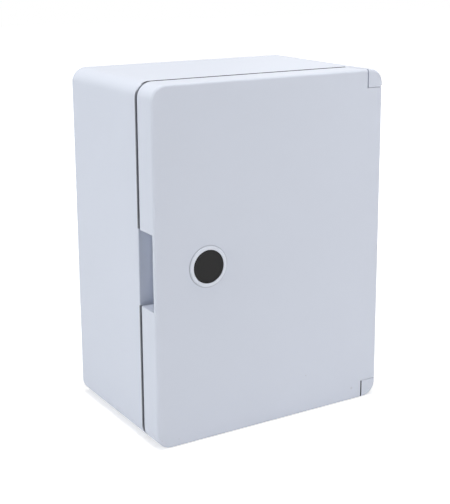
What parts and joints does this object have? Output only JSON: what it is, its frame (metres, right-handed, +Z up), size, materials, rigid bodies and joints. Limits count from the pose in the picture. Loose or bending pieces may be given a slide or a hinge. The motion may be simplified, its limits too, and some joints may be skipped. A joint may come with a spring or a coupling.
{
  "type": "electrical enclosure",
  "caption": "Plastic wall-mounting enclosure with a hinged door, round quarter-turn lock, finger pocket, gasket and steel mounting plate.",
  "frame": {"origin": "centre of the base, midway between the front of the lock's ring and the box's back", "axes": "+Z up, front with the door towards -Y, back with the wall fixings towards +Y, hinge side towards +X"},
  "size_m": [0.3, 0.2016, 0.4],
  "materials": {
    "shell_plastic": "fine moulded texture, light grey",
    "lock_plastic": "smooth moulded, light grey",
    "knob_plastic": "satin black",
    "nut_plastic": "moulded, dark grey",
    "seal_foam": "closed-cell foam",
    "seal_rubber": "smooth rubber",
    "pin_steel": "turned stainless steel",
    "zinc_steel": "zinc-plated steel",
    "plate_steel": "galvanised sheet",
    "insert_brass": "plain brass"
  },
  "bodies": {
    "cabinet": {"body": "shell_plastic", "hinge_pin_upper": "pin_steel", "hinge_pin_lower": "pin_steel", "mounting_plate": "plate_steel", "plate_screw_1": "zinc_steel", "plate_screw_2": "zinc_steel", "plate_screw_3": "zinc_steel", "plate_screw_4": "zinc_steel", "plate_insert_1": "insert_brass", "plate_insert_2": "insert_brass", "plate_insert_3": "insert_brass", "plate_insert_4": "insert_brass"},
    "door": {"door": "shell_plastic", "door_gasket": "seal_foam", "lock_housing": "lock_plastic", "lock_seal": "seal_rubber", "lock_nut": "nut_plastic"},
    "lock": {"lock_knob": "knob_plastic", "lock_cam": "zinc_steel", "cam_washer": "zinc_steel", "cam_screw": "zinc_steel"}
  },
  "joints": [
    {"name": "door_hinge", "type": "hinge", "parent": "cabinet", "child": "door", "pos_m": [0.14, -0.0922, 0.2], "axis": [0, 0, 1], "range_deg": [0, 180]},
    {"name": "lock_turn", "type": "hinge", "parent": "door", "child": "lock", "pos_m": [-0.085, -0.0575, 0.2], "axis": [0, 1, 0], "range_deg": [0, 90]}
  ]
}
